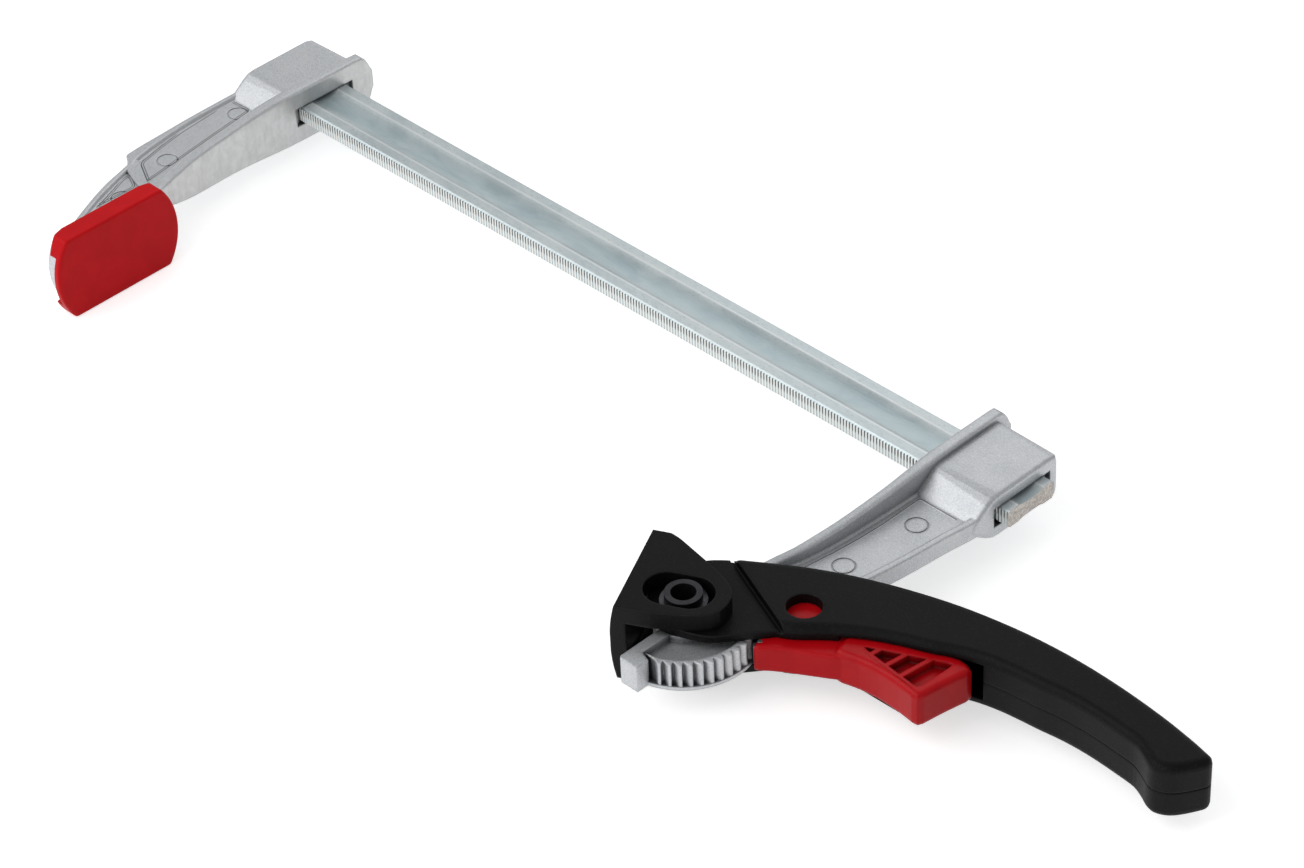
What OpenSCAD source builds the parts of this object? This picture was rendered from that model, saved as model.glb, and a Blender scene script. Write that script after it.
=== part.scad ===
// Ratchet lever clamp: a serrated flat rail, a fixed arm with a slip-on pad cap, and a sliding arm
// that carries a tilting jaw, a two-shell hand lever and a red release trigger.
// Origin: centre of the pad cap's clamping face. +X runs along the rail towards the sliding arm,
// +Y runs from the jaws towards the rail, +Z is up out of the clamp's middle plane.

/* [Reach and opening] */

// Distance from the pad centre line to the rail centre line
throat = 100.7; // [95:0.1:106]
// Distance from the pad face to the lever pivot, with the sliding arm at the free end
pivot_x = 259.3; // [255:0.1:264]
// How far the lever pivot lies outside the pad centre line
pivot_drop = 5.7; // [5:0.1:6.5]

/* [Rail] */

// Width of the rail over its serrated edges
rail_w = 20; // [19:0.1:21]
// Thickness of the rail
rail_t = 6.2; // [5.8:0.1:6.4]
// Distance from the pad face to the free end of the rail
rail_front = 294.9; // [292:0.1:300]
// Length of rail hidden behind the pad face plane
rail_back = 37; // [35:0.1:37.5]
// Width of the shallow groove rolled into each wide face
groove_w = 11; // [9:0.1:13]
// Depth of that groove
groove_d = 0.9; // [0.5:0.05:1.2]
// Softening of the rail's long corners
rail_soft = 0.8; // [0.4:0.1:1]
// Pitch of the serrations
notch_pitch = 1.22; // [1.1:0.01:1.5]
// Depth of the serrations
notch_depth = 0.4; // [0.2:0.05:0.5]
// Clearance between the rail and the slot of the sliding arm
slide_gap = 0.35; // [0.3:0.01:0.5]
// Clearance between the rail and the slot of the fixed arm
seat_gap = 0.05; // [0.02:0.01:0.1]

/* [Arms] */

// Distance from the pad face plane back to the fixed arm's inner face
fixed_face = 15.8; // [15:0.1:16.5]
// Depth of an arm, measured along the rail
arm_w = 23; // [22:0.1:24]
// Half height of an arm's inner flange at the rail
arm_h = 10; // [9.5:0.1:10.5]
// Half height of the outer flange
rib_h = 3.1; // [2.9:0.1:3.4]
// Half thickness of the web
web_h = 1.8; // [1.6:0.1:2]
// Thickness of the inner flange
flange_t = 4.2; // [3.8:0.1:4.5]
// Thickness of the outer flange
rib_t = 2.4; // [2:0.1:2.8]
// Softening of the flange edges
arm_soft = 0.9; // [0.6:0.1:1]
// Half height of the block around the rail
box_h = 8.2; // [7.8:0.1:8.4]
// Half height of the block on the sliding arm
slide_box_h = 7.8; // [7.6:0.1:8.2]
// How far the block reaches from the rail's middle towards the jaws
box_near = 12.7; // [12.5:0.1:13.5]
// How far the block reaches from the rail's middle the other way
box_far = 15.8; // [15:0.1:16.2]
// Length of the slope between block and web
slope_len = 8.5; // [8:0.1:9]
// Softening of the block's edges
box_soft = 1.4; // [1:0.1:1.6]
// Radius of the round casting marks on the webs
mark_r = 3.6; // [3:0.1:4]
// Relief of the casting marks and panel outlines
mark_d = 0.25; // [0.15:0.05:0.4]
// Length of the wider mouth of each rail slot
mouth_len = 2; // [1:0.1:3]
// Extra width of the slot mouth at each rail edge
mouth_w = 1.9; // [1:0.1:2.2]

/* [Fixed jaw head and pad cap] */

// Radius of the pad cap's round ends
cap_r = 24.3; // [23.5:0.1:25]
// Half height between the cap's two flats
cap_h = 14.7; // [14:0.1:15]
// Depth of the cap
cap_d = 7.2; // [7:0.1:7.6]
// Thickness of the cap's face
cap_face = 2.2; // [2:0.1:2.4]
// Thickness of the cap's rim
cap_wall = 2.8; // [2:0.1:3]
// Half height of the gap in the cap's rim at each round end
cap_cut = 9; // [8.5:0.1:9.5]
// Length of each flat at the back of the cap, from its middle
cap_flat = 15.5; // [14:0.1:16]
// How far the rim steps forward at its outermost point
cap_step = 2; // [1:0.1:2.4]
// Clearance between cap and jaw head
cap_gap = 0.1; // [0.05:0.01:0.2]
// Softening of the cap's outer edge
cap_soft = 0.9; // [0.6:0.1:1.2]
// How far the jaw head reaches behind the pad face
head_back = 8.8; // [8.4:0.1:9.2]
// Width and depth measure of the crossed grooves in the jaw head
groove_v = 6; // [5:0.1:7]

/* [Lever] */

// Length of the lever from pivot to tip
lever_len = 157; // [150:0.5:160]
// Angle of the lever to the rail when closed
lever_rake = 17.5; // [17:0.1:18]
// Half thickness of the grip
grip_h = 9.3; // [9:0.1:9.6]
// Half thickness of the lever's head
head_h = 7.2; // [7:0.05:7.3]
// Half width of the gap between the two head cheeks
cheek_in = 4.8; // [4.75:0.05:4.9]
// Half width of the lever's hollow at the trigger
hollow_h = 6.4; // [6.3:0.1:6.8]
// Wall thickness of the lever shells
shell_t = 2.4; // [2.2:0.1:2.6]
// Softening of the grip's long edges
grip_soft = 2.4; // [2:0.1:2.5]
// Size of the fine V joint between the two shells
seam_v = 0.25; // [0.15:0.05:0.4]
// Distance from pivot to the step between head and grip
step_d = 20.8; // [20.7:0.1:21.4]
// Width of the groove along that step
step_w = 1; // [0.8:0.1:1.4]
// Depth of the groove along that step
step_groove = 0.7; // [0.4:0.1:1]
// Angle of the step line's normal, measured from the rail
step_turn = 68.2; // [67:0.1:69]

/* [Pivot] */

// Radius of the bore through the hollow pivot rivet
tube_bore_r = 3.7; // [3.5:0.05:3.9]
// Radius of the rivet's shank
tube_r = 4.9; // [4.85:0.05:5]
// Radius of the rivet's rolled ends
tube_end_r = 5.5; // [5.4:0.05:5.7]
// Half length of the rivet
tube_h = 12.9; // [12.7:0.05:13]
// Length of each rolled end
tube_end_len = 2.5; // [2.2:0.1:2.6]
// Running clearance on the rivet's radius
run_gap = 0.05; // [0.02:0.01:0.09]
// Half height of the sliding arm's hub
hub_h = 4; // [3.9:0.05:4]
// Radius of the hub
hub_r = 9; // [8.6:0.1:9.2]
// Radius of the thrust washers
washer_r = 8; // [7.4:0.1:8.2]
// Thickness of a thrust washer
washer_t = 0.45; // [0.4:0.01:0.5]

/* [Ratchet sector] */

// Radius over the ratchet teeth
tooth_r = 21.7; // [21.5:0.05:21.9]
// Depth of a ratchet tooth
tooth_d = 1.5; // [1.2:0.1:1.7]
// Angle from tooth to tooth
tooth_turn = 8; // [8:1:8]
// Half height of the toothed rim
sector_h = 4.5; // [4.4:0.05:4.5]
// Thickness of the rim behind the teeth
rim_t = 1; // [0.8:0.1:1.2]
// Radius over the end block
stop_r = 25; // [24.6:0.1:25.2]
// Width of the end block
stop_w = 7; // [6.6:0.1:7.1]
// Thickness of the flange under the teeth
under_t = 1.2; // [1:0.1:1.3]
// How far that flange stands out from the teeth
under_out = 0.2; // [0.1:0.05:0.25]
// Half thickness of the sector's floor
floor_h = 2; // [1.8:0.1:2.4]

/* [Jaw] */

// Angle between the jaw face and the pad face in the stored pose
jaw_tilt = 26.6; // [26:0.1:27]
// Distance from pivot to the jaw's front corners
jaw_front = 16.7; // [16.6:0.1:17]
// Crown of the jaw's face over its height
jaw_crown = 1.6; // [1:0.1:2]
// Distance from pivot to the inside of the jaw's front wall
jaw_inner = 13.5; // [13.5:0.1:13.7]
// Half height of the jaw
jaw_h = 13.2; // [13.1:0.05:13.3]
// Softening of the upright corners of the jaw's cheeks
jaw_soft = 1.8; // [1.2:0.1:2]
// Half width of the gap between the jaw's cheeks
jaw_gap_h = 7.5; // [7.5:0.05:7.55]
// Width of the jaw's slots
slot_w = 14; // [13.8:0.1:14.2]
// Length of the jaw's slots from end to end
slot_len = 20.9; // [20.6:0.1:21.2]
// How far the slot centre lies in front of the pivot
slot_shift = 1.25; // [1.1:0.05:1.4]
// Length of a slide bush along the pivot
bush_len = 2.8; // [2.5:0.1:2.85]

/* [Trigger and pawl] */

// Distance from pivot to the trigger's own axis, along the lever
trig_u = 31.3; // [31:0.1:31.6]
// Distance of the trigger's axis from the lever's centre line
trig_v = 12.7; // [12.5:0.1:12.9]
// Radius of the windows in the shells that carry the trigger
window_r = 5.3; // [5.2:0.05:5.4]
// Half length of the trigger over its journals
journal_h = 6; // [5.8:0.1:6.2]
// Radius of the trigger's hub
trig_hub_r = 7; // [6.8:0.1:7.2]
// Half thickness of the trigger's arm
trig_h = 4.5; // [4.3:0.05:4.5]
// Half thickness of the finger pad
pad_h = 5.9; // [5.7:0.1:6]
// Softening of the trigger's edges
trig_soft = 1; // [0.8:0.1:1.2]
// Softening of the finger pad's edges
pad_soft = 1.6; // [1.2:0.1:1.8]
// Depth of the pocket in the finger pad
pocket_d = 2.6; // [2:0.1:3]
// Thickness of the ribs in that pocket
rib_w = 1.5; // [1.2:0.1:1.8]
// Half height of the pawl
pawl_h = 3; // [2.8:0.1:3.1]
// Clearance between pawl and ratchet teeth
pawl_gap = 0.4; // [0.35:0.05:0.5]
// Radial length of the pawl
pawl_len = 3.6; // [3.4:0.1:3.8]
// Width of the pawl
pawl_w = 3.2; // [3:0.1:3.4]
// Radius of the pin that holds the pawl
pawl_pin_r = 0.7; // [0.6:0.05:0.8]

/* [Springs, pins and screws] */

// Radius of the trigger spring's coil
coil_r = 2.2; // [2.1:0.1:2.3]
// Radius of the spring wire
wire_r = 0.4; // [0.35:0.05:0.45]
// Curls of the trigger spring
curls = 6; // [5:1:6]
// Radius of the spring's seat in the trigger
seat_r = 3.6; // [3.5:0.1:3.7]
// Depth of that seat
seat_depth = 4; // [3.8:0.1:4.2]
// Radius of the pins beside the rail
grip_pin_r = 1.6; // [1.5:0.1:1.7]
// Half length of those pins
grip_pin_h = 5.6; // [5.2:0.1:6]
// Radius of the pin that locks the rail in the fixed arm
lock_pin_r = 2; // [1.8:0.1:2.2]
// Radius of the stop pin in the rail
stop_pin_r = 1.2; // [1:0.1:1.3]
// How far the stop pin stands below the rail
stop_pin_out = 1.3; // [1.2:0.1:1.4]
// Radius of a shell screw's head
screw_head_r = 2.7; // [2.5:0.1:2.9]
// Radius of a shell screw's shank
screw_r = 1.3; // [1.2:0.1:1.4]
// Depth of a screw head's seat in the lower shell
screw_sink = 2.2; // [2:0.1:2.4]
// Thickness of a screw head
screw_head_t = 1.6; // [1.4:0.1:1.8]
// Radius of the screw posts inside the shells
post_r = 3.4; // [3.2:0.1:3.6]

/* [Hidden] */

// Fineness of round bores and pins
fine = 72;
// A short overlap that lets cuts run past a face
past = 0.5;
// Middle of the rail across its width
rail_y = throat;
// Pivot in the part's frame
pivot = [pivot_x, -pivot_drop];
// Inner face of the sliding arm at the rail
slide_face = pivot_x + 0.226 * arm_w;
// Outer face of the sliding arm's block
slide_outer = pivot_x + 1.4 * arm_w;
// Outer face of the fixed arm's block
fixed_outer = fixed_face + 1.07 * arm_w;
// Ends of the ratchet's toothed span and the middle of the pawl, seen from the pivot
first_tooth = -70;
last_tooth = 26;
pawl_turn = 15;
// Slant of the ribs in the finger pad's pocket
rib_turn = -25;
// Place of the trigger spring along the lever, and where its two ends lie across it
spring_u = 0.27 * lever_len;
spring_v = 0.1175 * lever_len;
spring_low = spring_v - 0.4 * seat_depth;
spring_len = 0.0645 * lever_len;

// Fixed arm stations: height in throats, inner and outer edge in arm depths, flange in arm heights,
// then the thickness of inner and outer flange, each as a share of its own size
fixed_shares = [
    [-0.13, 0.36, 0.66, 0.70, 0.45, 0.5], [-0.06, 0.35, 0.82, 0.62, 0.6, 0.7],
    [0.01, 0.35, 0.975, 0.50, 0.8, 0.85], [0.115, 0.36, 1.19, 0.42, 0.9, 0.85],
    [0.20, 0.46, 1.335, 0.42, 1, 0.9], [0.30, 0.58, 1.46, 0.45, 1, 0.7],
    [0.318, 0.585, 1.53, 0.48, 1, 1.2], [0.336, 0.592, 1.655, 0.53, 1, 1.9],
    [0.36, 0.60, 1.68, 0.58, 1, 1.8], [0.42, 0.63, 1.70, 0.69, 1, 1.45],
    [0.50, 0.665, 1.715, 0.75, 1, 1.1], [0.60, 0.70, 1.735, 0.81, 1, 0.85],
    [0.70, 0.717, 1.742, 0.89, 1, 0.8], [0.80, 0.715, 1.745, 0.97, 1, 0.8],
    [0.90, 0.70, 1.745, 0.995, 1, 0.8], [1.147, 0.687, 1.745, 0.99, 1, 0.8],
    [1.168, 0.687, 1.745, 0.945, 1, 0.8], [1.184, 0.687, 1.745, 0.85, 1, 0.8],
    [1.1945, 0.687, 1.745, 0.70, 1, 0.8], [1.2025, 0.687, 1.745, 0.50, 1, 0.8],
    [1.2095, 0.687, 1.745, 0.38, 1, 0.8]];

// Sliding arm stations, with the edges counted from the pivot
slide_shares = [
    [0.02, -0.24, 0.80, 0.36, 0.75, 0.9], [0.08, -0.21, 0.775, 0.38, 0.75, 1],
    [0.15, -0.13, 0.81, 0.40, 0.75, 1], [0.215, -0.055, 0.88, 0.42, 0.75, 1],
    [0.26, 0, 0.955, 0.44, 0.75, 1], [0.30, 0.055, 1.02, 0.50, 0.75, 1],
    [0.35, 0.13, 1.085, 0.58, 0.75, 1], [0.41, 0.18, 1.145, 0.66, 0.75, 1],
    [0.50, 0.225, 1.215, 0.73, 0.75, 1], [0.60, 0.248, 1.27, 0.80, 0.76, 1],
    [0.70, 0.262, 1.315, 0.88, 0.80, 1], [0.76, 0.260, 1.355, 0.93, 0.84, 1],
    [0.82, 0.255, 1.385, 0.97, 0.9, 1], [0.90, 0.235, 1.388, 0.995, 1, 1],
    [1.147, 0.226, 1.388, 0.99, 1, 1], [1.168, 0.226, 1.388, 0.945, 1, 1],
    [1.184, 0.226, 1.388, 0.85, 1, 1], [1.1945, 0.226, 1.388, 0.70, 1, 1],
    [1.2025, 0.226, 1.388, 0.50, 1, 1], [1.2095, 0.226, 1.388, 0.38, 1, 1]];

// Cross rib on the fixed arm's web, in arm depths behind the pad face and in throats
cross_shares = [[1.50, 0.312], [1.335, 0.283], [0.9, 0.252], [0.9, 0.285], [1.43, 0.347], [1.60, 0.345]];

// Upper edge of the lever, along and across its centre line, in lever lengths
lever_top_shares = [
    [0.0353, 0.1541], [0.088, 0.1696], [0.1412, 0.1842], [0.2146, 0.1982],
    [0.2904, 0.2063], [0.368, 0.2093], [0.4472, 0.2073], [0.5288, 0.1986], [0.6123, 0.1837],
    [0.6981, 0.1612], [0.7862, 0.1306], [0.8762, 0.0927], [0.9452, 0.0584],
    [0.9750, 0.0414]];

// Lower edge of the lever from the tip to a little past the step
lever_low_shares = [
    [0.9890, 0.0041], [0.9750, -0.0095], [0.9575, -0.0240], [0.9420, -0.0325],
    [0.9267, -0.0358], [0.9117, -0.0347], [0.8985, -0.0270], [0.882, -0.010], [0.860, 0.008],
    [0.824, 0.0235], [0.780, 0.0405], [0.737, 0.0545], [0.696, 0.0645], [0.655, 0.0715], [0.614, 0.080],
    [0.573, 0.087], [0.53, 0.090], [0.487, 0.087], [0.445, 0.080], [0.388, 0.075], [0.334, 0.066],
    [0.266, 0.046], [0.205, 0.0195], [0.165, 0.012]];

// Centre and radius of the lever's round tip, and the hidden corner under its head, in lever lengths
tip_shares = [0.9792, 0.0189, 0.0175];
corner_shares = [0, 0.125];

// Ends of the room for the trigger and of the hollow in the grip
room_end = 0.543;
hollow_end = 0.87;

// Outline of the lever's head cheeks around the pivot, in lever lengths, in the part's directions
head_shares = [
    [0.172, 0.075], [0.124, 0.016], [0.092, -0.0255], [0.070, -0.038], [0.0465, -0.0478],
    [0.0127, -0.0582], [-0.0255, -0.0572], [-0.058, -0.040], [-0.0775, -0.0127],
    [-0.0805, 0.019], [-0.0735, 0.063], [-0.0656, 0.117], [-0.031, 0.149], [0.047, 0.188],
    [0.11, 0.21]];

// Edges of the trigger: arm and finger pad, in lever lengths, in the lever's directions
trig_arm_shares = [
    [0.148, -0.0287], [0.178, -0.016], [0.213, -0.006], [0.230, -0.0025], [0.261, 0.005],
    [0.290, 0.0115], [0.345, 0.032], [0.345, 0.085], [0.310, 0.112], [0.245, 0.120],
    [0.190, 0.122], [0.160, 0.090], [0.150, 0.030]];
trig_pad_shares = [
    [0.286, 0.0165], [0.338, 0.0145], [0.3796, 0.006], [0.4268, -0.011],
    [0.4720, -0.0320], [0.502, 0.028], [0.531, 0.078], [0.500, 0.096], [0.430, 0.100],
    [0.330, 0.096], [0.290, 0.070]];
// Corners of the pocket in the finger pad, and the foot of each of its ribs
pocket_shares = [[0.3272, 0.0495], [0.4627, -0.0087], [0.4946, 0.0759]];
rib_shares = [0.347, 0.391, 0.4325];

// Outline of the jaw's cheeks, outwards and along the face, in jaw half heights, with the share of
// the corner softening at each corner
jaw_corners = [0.3, 0.3, 1.5, 2, 2, 2, 2, 2, 2, 0.8, 0.3];
jaw_shares = [
    [1.39, -1.75], [1.39, 0.89], [0.45, 0.87], [-0.60, 0.685], [-0.97, 0.43], [-1.075, -0.11],
    [-0.90, -0.46], [-0.57, -0.775], [-0.10, -1.12], [0.62, -1.64], [0.84, -1.75]];

// Places of the shell screws, along and across the lever, in lever lengths
screw_shares = [[0.415, 0.165], [0.66, 0.120], [0.93, 0.006]];

// Which piece to draw

// Shapes

function spot(p, i, t) =
    let (a = p[max(i - 1, 0)], b = p[i], c = p[i + 1], d = p[min(i + 2, len(p) - 1)])
    0.5 * (2 * b + (c - a) * t + (2 * a - 5 * b + 4 * c - d) * t * t + (3 * b - a - 3 * c + d) * t * t * t);
// A smooth line through the given points
function curve(p, n) = [for (i = [0 : len(p) - 2]) for (k = [0 : n - 1]) spot(p, i, k / n), p[len(p) - 1]];
function side(a, b) = [b[1] - a[1], a[0] - b[0]] / norm(b - a);
// An outline moved outwards by g
function grow(p, g) = [for (i = [0 : len(p) - 1])
    let (m = side(p[(i + len(p) - 1) % len(p)], p[i]), q = side(p[i], p[(i + 1) % len(p)]))
    p[i] + g * (m + q) / (1 + m * q)];
// An outline with each corner cut back by r, or by its own entry in a list r, and rounded
function soften(p, r) = [for (i = [0 : len(p) - 1])
    let (a = p[(i + len(p) - 1) % len(p)], b = p[i], c = p[(i + 1) % len(p)], k = is_list(r) ? r[i] : r,
         u = b + (a - b) * min(k / norm(a - b), 0.45), v = b + (c - b) * min(k / norm(c - b), 0.45))
    each [u, 0.5625 * b + 0.21875 * (u + v), v]];
function turned(p, a) = [for (q = p) [q[0] * cos(a) - q[1] * sin(a), q[0] * sin(a) + q[1] * cos(a)]];

// The flat end of a ring: a paired ring runs back in reverse over the same places and is closed pair by
// pair, a laddered one runs out along +X and back and is closed by triangles between its two edges
function paired(r) = let (n = len(r)) [for (i = [0 : n / 2 - 2]) [i, i + 1, n - 2 - i, n - 1 - i]];
function laddered(r, i, j) = j - i < 2 ? [] : r[i + 1][0] < r[j - 1][0]
    ? concat([[i, i + 1, j]], laddered(r, i + 1, j))
    : concat([[i, j - 1, j]], laddered(r, i, j - 1));

// A closed skin over a stack of rings, with the flat ends given as faces of the first ring
module skin(rings, ends) {
    n = len(rings[0]);
    last = (len(rings) - 1) * n;
    polyhedron(
        points = [for (r = rings) each r],
        faces = concat(
            is_undef(ends) ? [[for (i = [0 : n - 1]) i]] : ends,
            [for (j = [0 : len(rings) - 2]) for (i = [0 : n - 1]) let (k = (i + 1) % n)
                each [[j * n + i, j * n + n + i, j * n + n + k], [j * n + i, j * n + n + k, j * n + k]]],
            is_undef(ends) ? [[for (i = [n - 1 : -1 : 0]) last + i]]
                           : [for (f = ends) [for (i = [len(f) - 1 : -1 : 0]) last + f[i]]]),
        convexity = 10);
}

// A flat plate from z0 to z1 with a softened top edge and a chamfer of foot at its lower edge
module soft_plate(p, z0, z1, r, foot) {
    top = [for (a = [0 : 22.5 : 90]) [z1 - r + r * sin(a), r * cos(a) - r]];
    skin([for (s = concat([[z0, -foot], [z0 + foot, 0]], top))
        [for (q = grow(p, s[1])) [q[0], q[1], s[0]]]], laddered(p, 0, len(p) - 1));
}

// A plate softened on both edges, centred on the middle plane
module soft_slab(p, h, r) {
    skin([for (s = concat([for (a = [90 : -22.5 : 0]) [-h + r - r * sin(a), r * cos(a) - r]],
                          [for (a = [0 : 22.5 : 90]) [h - r + r * sin(a), r * cos(a) - r]]))
        [for (q = grow(p, s[1])) [q[0], q[1], s[0]]]]);
}

module prism(p, h) {
    linear_extrude(height = 2 * h, center = true)
        polygon(p);
}

module layer(p, z0, z1) {
    translate([0, 0, z0])
        linear_extrude(height = z1 - z0)
            polygon(p);
}

module rod(r, h) {
    cylinder(r = r, h = 2 * h, center = true, $fn = fine);
}

module block(x0, x1, y0, y1, h) {
    translate([x0, y0, -h])
        cube([x1 - x0, y1 - y0, 2 * h]);
}

module at_pivot() {
    translate([pivot[0], pivot[1], 0])
        children();
}

module in_lever() {
    at_pivot()
        rotate([0, 0, lever_rake])
            children();
}

module in_jaw() {
    at_pivot()
        rotate([0, 0, 180 + jaw_tilt])
            children();
}

// Rail

module rail_slot(x0, x1, g, extra) {
    block(x0, x1, rail_y - rail_w / 2 - g - extra, rail_y + rail_w / 2 + g + extra, rail_t / 2 + g);
}

module rail_profile() {
    d = groove_d;
    h = rail_t / 2;
    w = rail_w / 2;
    top = [[-w, h - rail_soft], [-w + rail_soft, h],
           each [for (k = [0 : 8]) let (s = k / 8) [groove_w * (s - 0.5), h - d * pow(sin(180 * s), 0.7)]],
           [w - rail_soft, h], [w, h - rail_soft]];
    polygon(concat([for (q = top) [q[1], q[0]]],
                   [for (i = [len(top) - 1 : -1 : 0]) [-top[i][1], top[i][0]]]));
}

module rail() {
    n = floor((rail_front + rail_back) / notch_pitch);
    w = rail_w / 2;
    edge = [for (i = [0 : n - 1]) each [[i * notch_pitch, w], [(i + 0.3) * notch_pitch, w],
            [(i + 0.65) * notch_pitch, w - notch_depth]]];
    far = concat(edge, [[n * notch_pitch, w], [rail_front + rail_back, w]]);
    color("silver")
        difference() {
            intersection() {
                translate([-rail_back, rail_y, 0])
                    rotate([0, 90, 0])
                        linear_extrude(height = rail_back + rail_front)
                            rail_profile();
                translate([-rail_back, rail_y, 0])
                    prism(concat(far, [for (i = [len(far) - 1 : -1 : 0]) [far[i][0], -far[i][1]]]), rail_t);
            }
            translate([-fixed_face - 0.5 * arm_w, rail_y, 0])
                rod(lock_pin_r, rail_t);
            translate([slide_outer - 2 * stop_pin_r - mouth_len, rail_y, 0])
                rod(stop_pin_r, rail_t);
        }
}

module rail_stop_pin() {
    color("gray")
        translate([slide_outer - 2 * stop_pin_r - mouth_len, rail_y, -rail_t / 2 - stop_pin_out])
            cylinder(r = stop_pin_r, h = rail_t + stop_pin_out - 1.5 * groove_d, $fn = fine);
}

module rail_lock_pin() {
    color("gray")
        translate([-fixed_face - 0.5 * arm_w, rail_y, -box_h])
            cylinder(r = lock_pin_r, h = 1.5 * box_h, $fn = fine);
}

// Arms

// Half of an arm's section from inner to outer face: depth w, flange heights hi and ho, and the
// flange thicknesses t and o
function half_section(w, hi, ho, t, o) =
    let (r = arm_soft, z = web_h, f = 0.8 * (ho - r / 2 - web_h), k = 0.3, d = 0.03 * t)
    [[0, hi - r], [k * r, hi - k * r], [r, hi], [t - r, hi], [t - k * r, hi - k * r], [t, hi - r],
     [t + d, z + f], [t + d + k * f, z + k * f], [t + d + f, z],
     [w - o - d - f, z], [w - o - d - k * f, z + k * f], [w - o - d, z + f],
     [w - o, ho - r / 2], [w - o + k * r / 2, ho - k * r / 2], [w - o + r / 2, ho],
     [w - r / 2, ho], [w - k * r / 2, ho - k * r / 2], [w, ho - r / 2]];

function arm_ring(s, x, dir) =
    let (c = half_section(abs(s[2] - s[1]) * arm_w, s[3] * arm_h, rib_h, s[4] * flange_t, s[5] * rib_t),
         ring = concat([for (q = c) [q[0], -q[1]]], [for (i = [len(c) - 1 : -1 : 0]) c[i]]),
         run = [for (q = ring) [x + dir * (s[1] * arm_w + q[0]), s[0] * throat, q[1]]])
    dir < 0 ? run : [for (i = [len(run) - 1 : -1 : 0]) run[i]];

// The block around the rail with its slope, from x0 (inner) to x1 (outer), h half high
function block_outline(h, r) =
    let (y0 = rail_y - box_near, y1 = rail_y + box_far)
    soften([[y0 - slope_len, -web_h], [y0, -h], [y1, -h], [y1, h], [y0, h], [y0 - slope_len, web_h]], r);

module arm_block(x0, x1, h) {
    dir = x1 > x0 ? 1 : -1;
    r = box_soft;
    rings = concat([[x0, 0, r]],
                   [for (a = [0 : 22.5 : 90]) [x1 - dir * r * (1 - sin(a)), r * (cos(a) - 1), 2 * r]]);
    order = dir > 0 ? rings : [for (i = [len(rings) - 1 : -1 : 0]) rings[i]];
    skin([for (s = order) [for (q = grow(block_outline(h, s[2]), s[1])) [s[0], q[0], q[1]]]]);
}

// An arm's body. Past the block only the inner flange goes on, as far as x1
module arm_body(shares, x, dir, x1) {
    x2 = x1 + dir * 3 * arm_w;
    difference() {
        let (rings = [for (s = curve(shares, 2)) arm_ring(s, x, dir)])
            skin(rings, paired(rings[0]));
        block(min(x1, x2), max(x1, x2), rail_y + 0.9 * box_far, rail_y + 3 * box_far, 2 * arm_h);
    }
}

// Ring-shaped casting mark on both sides of a web
module mark(x, y) {
    for (s = [-1, 1])
        translate([x, y, s * web_h])
            difference() {
                cylinder(r = mark_r, h = 2 * mark_d, center = true, $fn = 36);
                cylinder(r = 0.86 * mark_r, h = 3 * mark_d, center = true, $fn = 36);
            }
}

// A truncated disc between two planes across X
module disc(x0, x1, g) {
    translate([x0, 0, 0])
        rotate([90, 0, 90])
            linear_extrude(height = x1 - x0)
                intersection() {
                    circle(r = cap_r + g, $fn = 96);
                    square([3 * cap_r, 2 * (cap_h + g)], center = true);
                }
}

module fixed_arm() {
    color("lightgray")
        difference() {
            union() {
                arm_body(fixed_shares, 0, -1, -fixed_face - 0.97 * flange_t);
                arm_block(-fixed_face - 0.1 * arm_w, -fixed_outer, box_h);
                prism([for (q = cross_shares) [-q[0] * arm_w, q[1] * throat]], rib_h - arm_soft / 3);
                disc(-head_back, -cap_face, -cap_wall - cap_gap);
            }
            rail_slot(-rail_back, 0, seat_gap, 0);
            rail_slot(-fixed_face - mouth_len, 0, slide_gap, mouth_w);
            translate([-cap_face, 0, 0])
                rotate([0, 45, 0])
                    cube([groove_v / sqrt(2), 3 * cap_r, groove_v / sqrt(2)], center = true);
            translate([-cap_face, 0, 0])
                rotate([0, 0, 45])
                    cube([groove_v / sqrt(2), groove_v / sqrt(2), 3 * cap_r], center = true);
            translate([-fixed_face - 0.5 * arm_w, rail_y, -box_h])
                cylinder(r = lock_pin_r, h = 1.5 * box_h, $fn = fine);
            mark(-1.11 * arm_w - mark_r / 2, 0.42 * throat);
            mark(-1.27 * arm_w - mark_r / 2, 0.75 * throat);
            mark(-0.95 * arm_w, 0.185 * throat);
        }
}

module pad_cap() {
    front = [for (a = [0 : 22.5 : 90]) [-cap_soft * (1 - sin(a)), cap_soft * (cos(a) - 1)]];
    x = cap_step - cap_d;
    color("red")
        difference() {
            skin([for (s = concat([[-cap_d, 0]], front))
                [for (q = grow(cap_outline(), s[1])) [s[0], q[0], q[1]]]]);
            disc(-cap_d - past, -cap_face, -cap_wall);
            block(-2 * cap_d, -cap_face, -2 * cap_r, 2 * cap_r, cap_cut);
            for (s = [-1, 1])
                prism([[-cap_d, s * cap_flat], [x, s * 0.93 * cap_r], [x, s * 2 * cap_r],
                       [-2 * cap_d, s * 2 * cap_r], [-2 * cap_d, s * cap_flat]], 2 * cap_h);
        }
}

function polar(r, a) = [r * cos(a), r * sin(a)];

function cap_outline() =
    let (a = asin(cap_h / cap_r), n = 14)
    soften([for (b = [-a, 180 - a]) for (k = [0 : n]) polar(cap_r, b + 2 * a * k / n)], cap_soft);

// Sliding arm with hub and ratchet sector

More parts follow.
